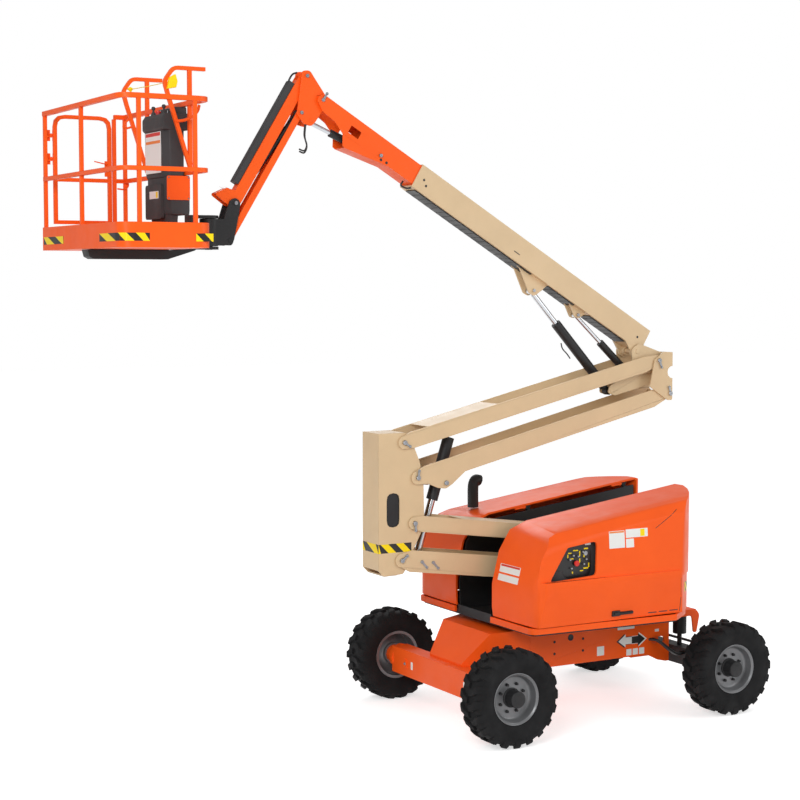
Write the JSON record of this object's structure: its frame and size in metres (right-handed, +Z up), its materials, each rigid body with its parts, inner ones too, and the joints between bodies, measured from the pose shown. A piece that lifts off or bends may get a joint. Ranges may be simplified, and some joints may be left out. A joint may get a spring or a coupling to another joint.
{
  "type": "articulating boom lift",
  "caption": "Articulating boom lift: a rough-terrain aerial work platform with a folding tower, telescopic boom, jib and railed basket on a wheeled chassis.",
  "frame": {"origin": "on the ground at the centre of the footprint of the whole machine in the pose of the picture", "axes": "+X towards the tail and the steering axle, -X towards the platform, +Y the machine's left, +Z up"},
  "size_m": [6.1184, 2.34, 5.6448],
  "materials": {
    "orange_paint": "glossy orange machine paint",
    "beige_paint": "semi-gloss sand beige paint",
    "black_paint": "semi-matt black paint",
    "tyre_rubber": "matt black rubber",
    "rim_grey": "grey painted wheel rim",
    "grey_plastic": "dark grey moulded plastic",
    "chromed_rod": "polished chromed rod"
  },
  "bodies": {
    "chassis": {"chassis_frame": "orange_paint", "drive_axle": "orange_paint", "steer_axle": "black_paint", "slew_bearing": "black_paint", "lockout_cylinder_right": "black_paint", "lockout_cylinder_left": "black_paint"},
    "wheel_drive_right": {"rim_drive_right": "rim_grey", "tyre_drive_right": "tyre_rubber"},
    "wheel_drive_left": {"rim_drive_left": "rim_grey", "tyre_drive_left": "tyre_rubber"},
    "knuckle_right": {"knuckle_steer_right": "black_paint"},
    "knuckle_left": {"knuckle_steer_left": "black_paint"},
    "tie_rod": {"tie_rod": "black_paint"},
    "wheel_steer_right": {"rim_steer_right": "rim_grey", "tyre_steer_right": "tyre_rubber"},
    "wheel_steer_left": {"rim_steer_left": "rim_grey", "tyre_steer_left": "tyre_rubber"},
    "turntable": {"turntable_deck": "black_paint", "inner_wall_right": "black_paint", "inner_wall_left": "black_paint", "link_stand": "black_paint", "turntable_skirt": "orange_paint", "counterweight": "orange_paint", "engine_block": "black_paint", "ground_control_panel": "grey_plastic"},
    "right_hood": {"right_hood": "orange_paint"},
    "left_hood": {"left_hood": "orange_paint", "exhaust_pipe": "black_paint"},
    "lower_bottom_link": {"lower_bottom_link": "beige_paint"},
    "lower_top_link": {"lower_top_link": "beige_paint"},
    "riser": {"riser": "beige_paint"},
    "upper_bottom_link": {"upper_bottom_link": "beige_paint"},
    "upper_top_link": {"upper_top_link": "beige_paint"},
    "upper_upright": {"upper_upright": "beige_paint"},
    "tower_cylinder_barrel": {"tower_cylinder_barrel": "black_paint"},
    "tower_cylinder_rod": {"tower_cylinder_rod": "chromed_rod"},
    "main_boom": {"main_boom": "beige_paint"},
    "fly_boom": {"fly_boom": "orange_paint"},
    "tip_bracket": {"tip_bracket": "orange_paint"},
    "lift_cylinder_barrel": {"lift_cylinder_barrel": "black_paint"},
    "lift_cylinder_rod": {"lift_cylinder_rod": "chromed_rod"},
    "level_cylinder_barrel": {"level_cylinder_barrel": "black_paint"},
    "level_cylinder_rod": {"level_cylinder_rod": "chromed_rod"},
    "slave_cylinder_barrel": {"slave_cylinder_barrel": "black_paint"},
    "slave_cylinder_rod": {"slave_cylinder_rod": "chromed_rod"},
    "jib_arm": {"jib_arm": "orange_paint", "hose_tray": "grey_plastic"},
    "jib_link": {"jib_link": "orange_paint"},
    "jib_foot": {"jib_foot": "black_paint"},
    "jib_cylinder_barrel": {"jib_cylinder_barrel": "black_paint"},
    "jib_cylinder_rod": {"jib_cylinder_rod": "chromed_rod"},
    "platform": {"platform_support": "black_paint", "platform_floor": "orange_paint", "platform_rails": "orange_paint", "platform_console": "grey_plastic"},
    "gate": {"gate": "orange_paint"}
  },
  "joints": [
    {"name": "steer", "type": "hinge", "parent": "chassis", "child": "knuckle_right", "pos_m": [2.6402, -0.7795, 0.419], "axis": [0, 0, 1], "range_deg": [-35, 35]},
    {"name": "steer_left", "type": "hinge", "parent": "chassis", "child": "knuckle_left", "pos_m": [2.6402, 0.7795, 0.419], "axis": [0, 0, 1], "range_deg": [-35, 35]},
    {"name": "tie_rod_pivot", "type": "hinge", "parent": "knuckle_right", "child": "tie_rod", "pos_m": [2.7702, -0.7795, 0.419], "axis": [0, 0, 1], "range_deg": [-35, 35]},
    {"name": "wheel_drive_right_spin", "type": "hinge", "parent": "chassis", "child": "wheel_drive_right", "pos_m": [0.3002, -1.0165, 0.419], "axis": [0, 1, 0], "continuous": true},
    {"name": "wheel_drive_left_spin", "type": "hinge", "parent": "chassis", "child": "wheel_drive_left", "pos_m": [0.3002, 1.0165, 0.419], "axis": [0, 1, 0], "continuous": true},
    {"name": "wheel_steer_right_spin", "type": "hinge", "parent": "knuckle_right", "child": "wheel_steer_right", "pos_m": [2.6402, -1.0165, 0.419], "axis": [0, 1, 0], "continuous": true},
    {"name": "wheel_steer_left_spin", "type": "hinge", "parent": "knuckle_left", "child": "wheel_steer_left", "pos_m": [2.6402, 1.0165, 0.419], "axis": [0, 1, 0], "continuous": true},
    {"name": "slew", "type": "hinge", "parent": "chassis", "child": "turntable", "pos_m": [1.4702, 0, 0], "axis": [0, 0, 1], "range_deg": [-177.5, 177.5]},
    {"name": "right_hood_hinge", "type": "hinge", "parent": "turntable", "child": "right_hood", "pos_m": [1.4702, -0.318, 1.82588], "axis": [-0.9903, 0, -0.1386], "range_deg": [0, 60]},
    {"name": "left_hood_hinge", "type": "hinge", "parent": "turntable", "child": "left_hood", "pos_m": [1.4702, 0.318, 1.82588], "axis": [0.9903, 0, 0.1386], "range_deg": [0, 60]},
    {"name": "tower_lift", "type": "hinge", "parent": "turntable", "child": "lower_bottom_link", "pos_m": [2.1282, 0, 1.179], "axis": [0, 1, 0], "range_deg": [-11, 55]},
    {"name": "lower_top_link_pivot", "type": "hinge", "parent": "turntable", "child": "lower_top_link", "pos_m": [2.2552, 0, 1.494], "axis": [0, 1, 0], "range_deg": [-11, 55]},
    {"name": "riser_pivot", "type": "hinge", "parent": "lower_bottom_link", "child": "riser", "pos_m": [-0.25072, 0, 1.49642], "axis": [0, 1, 0], "range_deg": [-55, 11]},
    {"name": "upper_bottom_link_pivot", "type": "hinge", "parent": "riser", "child": "upper_bottom_link", "pos_m": [-0.09272, 0, 2.20541], "axis": [0, -1, 0], "range_deg": [-11, 55]},
    {"name": "upper_top_link_pivot", "type": "hinge", "parent": "riser", "child": "upper_top_link", "pos_m": [-0.22572, 0, 2.51742], "axis": [0, -1, 0], "range_deg": [-11, 55]},
    {"name": "upright_pivot", "type": "hinge", "parent": "upper_bottom_link", "child": "upper_upright", "pos_m": [2.62521, 0, 2.85292], "axis": [0, 1, 0], "range_deg": [-11, 55]},
    {"name": "boom_lift", "type": "hinge", "parent": "upper_upright", "child": "main_boom", "pos_m": [2.28521, 0, 3.25192], "axis": [0, 1, 0], "range_deg": [-31, 44]},
    {"name": "boom_extend", "type": "slide", "parent": "main_boom", "child": "fly_boom", "axis": [-0.8586, 0, 0.5126], "range_m": [-0.25, 1.8]},
    {"name": "tip_level", "type": "hinge", "parent": "fly_boom", "child": "tip_bracket", "pos_m": [-0.96969, 0, 5.40612], "axis": [0, 1, 0], "range_deg": [-44, 31]},
    {"name": "jib_lift", "type": "hinge", "parent": "tip_bracket", "child": "jib_arm", "pos_m": [-1.10369, 0, 5.60012], "axis": [0, 1, 0], "range_deg": [-1.5, 142.5]},
    {"name": "jib_link_pivot", "type": "hinge", "parent": "tip_bracket", "child": "jib_link", "pos_m": [-1.15769, 0, 5.29612], "axis": [0, 1, 0], "range_deg": [-1.5, 142.5]},
    {"name": "jib_foot_pivot", "type": "hinge", "parent": "jib_arm", "child": "jib_foot", "pos_m": [-1.7542, 0, 4.53858], "axis": [0, 1, 0], "range_deg": [-142.5, 1.5]},
    {"name": "platform_rotate", "type": "hinge", "parent": "jib_foot", "child": "platform", "pos_m": [-1.9652, 0, 4.15558], "axis": [0, 0, 1], "range_deg": [-90, 90]},
    {"name": "gate_hinge", "type": "hinge", "parent": "platform", "child": "gate", "pos_m": [-2.9847, 0.8865, 4.15558], "axis": [0, 0, -1], "range_deg": [0, 90], "stiffness_Nm_per_rad": 5},
    {"name": "tower_cylinder_pivot", "type": "hinge", "parent": "upper_bottom_link", "child": "tower_cylinder_barrel", "pos_m": [0.19065, 0, 2.14648], "axis": [0, 1, 0], "range_deg": [-10.2, 50.18]},
    {"name": "tower_cylinder_stroke", "type": "slide", "parent": "tower_cylinder_barrel", "child": "tower_cylinder_rod", "axis": [-0.3007, 0, -0.9537], "range_m": [-0.0937, 0.4605]},
    {"name": "lift_cylinder_pivot", "type": "hinge", "parent": "upper_upright", "child": "lift_cylinder_barrel", "pos_m": [2.03022, 0, 2.88692], "axis": [0, 1, 0], "range_deg": [-28.1, 39.8]},
    {"name": "lift_cylinder_stroke", "type": "slide", "parent": "lift_cylinder_barrel", "child": "lift_cylinder_rod", "axis": [-0.6793, 0, 0.7338], "range_m": [-0.2209, 0.3127]},
    {"name": "level_cylinder_pivot", "type": "hinge", "parent": "upper_upright", "child": "level_cylinder_barrel", "pos_m": [2.26022, 0, 3.04692], "axis": [0, 1, 0], "range_deg": [-26.55, 37.6]},
    {"name": "level_cylinder_stroke", "type": "slide", "parent": "level_cylinder_barrel", "child": "level_cylinder_rod", "axis": [-0.7405, 0, 0.6721], "range_m": [-0.0816, 0.115]},
    {"name": "slave_cylinder_pivot", "type": "hinge", "parent": "fly_boom", "child": "slave_cylinder_barrel", "pos_m": [-0.4232, 0, 4.96569], "axis": [0, 1, 0], "range_deg": [-0.63, 0.81]},
    {"name": "slave_cylinder_stroke", "type": "slide", "parent": "slave_cylinder_barrel", "child": "slave_cylinder_rod", "axis": [-0.9247, 0, 0.3807], "range_m": [-0.1504, 0.1065]},
    {"name": "jib_cylinder_pivot", "type": "hinge", "parent": "tip_bracket", "child": "jib_cylinder_barrel", "pos_m": [-1.15769, 0, 5.29612], "axis": [0, 1, 0], "range_deg": [-1.66, 138.61]},
    {"name": "jib_cylinder_stroke", "type": "slide", "parent": "jib_cylinder_barrel", "child": "jib_cylinder_rod", "axis": [-0.6205, 0, -0.7842], "range_m": [-0.0081, 0.5822]}
  ],
  "couplings": [
    {"joint": "steer_left", "follows": "steer", "ratio": 1},
    {"joint": "tie_rod_pivot", "follows": "steer", "ratio": -1},
    {"joint": "lower_top_link_pivot", "follows": "tower_lift", "ratio": 1},
    {"joint": "riser_pivot", "follows": "tower_lift", "ratio": -1},
    {"joint": "upper_bottom_link_pivot", "follows": "tower_lift", "ratio": 1},
    {"joint": "upper_top_link_pivot", "follows": "tower_lift", "ratio": 1},
    {"joint": "upright_pivot", "follows": "tower_lift", "ratio": 1},
    {"joint": "tip_level", "follows": "boom_lift", "ratio": -1},
    {"joint": "jib_link_pivot", "follows": "jib_lift", "ratio": 1},
    {"joint": "jib_foot_pivot", "follows": "jib_lift", "ratio": -1},
    {"joint": "tower_cylinder_pivot", "follows": "tower_lift", "ratio": 0.9087},
    {"joint": "tower_cylinder_stroke", "follows": "tower_lift", "m_per_rad": 0.4776},
    {"joint": "lift_cylinder_pivot", "follows": "boom_lift", "ratio": 0.9},
    {"joint": "lift_cylinder_stroke", "follows": "boom_lift", "m_per_rad": 0.4046},
    {"joint": "level_cylinder_pivot", "follows": "boom_lift", "ratio": 0.85},
    {"joint": "level_cylinder_stroke", "follows": "boom_lift", "m_per_rad": 0.1472},
    {"joint": "slave_cylinder_pivot", "follows": "boom_lift", "ratio": 0.0138},
    {"joint": "slave_cylinder_stroke", "follows": "boom_lift", "m_per_rad": -0.1932},
    {"joint": "jib_cylinder_pivot", "follows": "jib_lift", "ratio": 0.9713},
    {"joint": "jib_cylinder_stroke", "follows": "jib_lift", "m_per_rad": 0.2333}
  ]
}
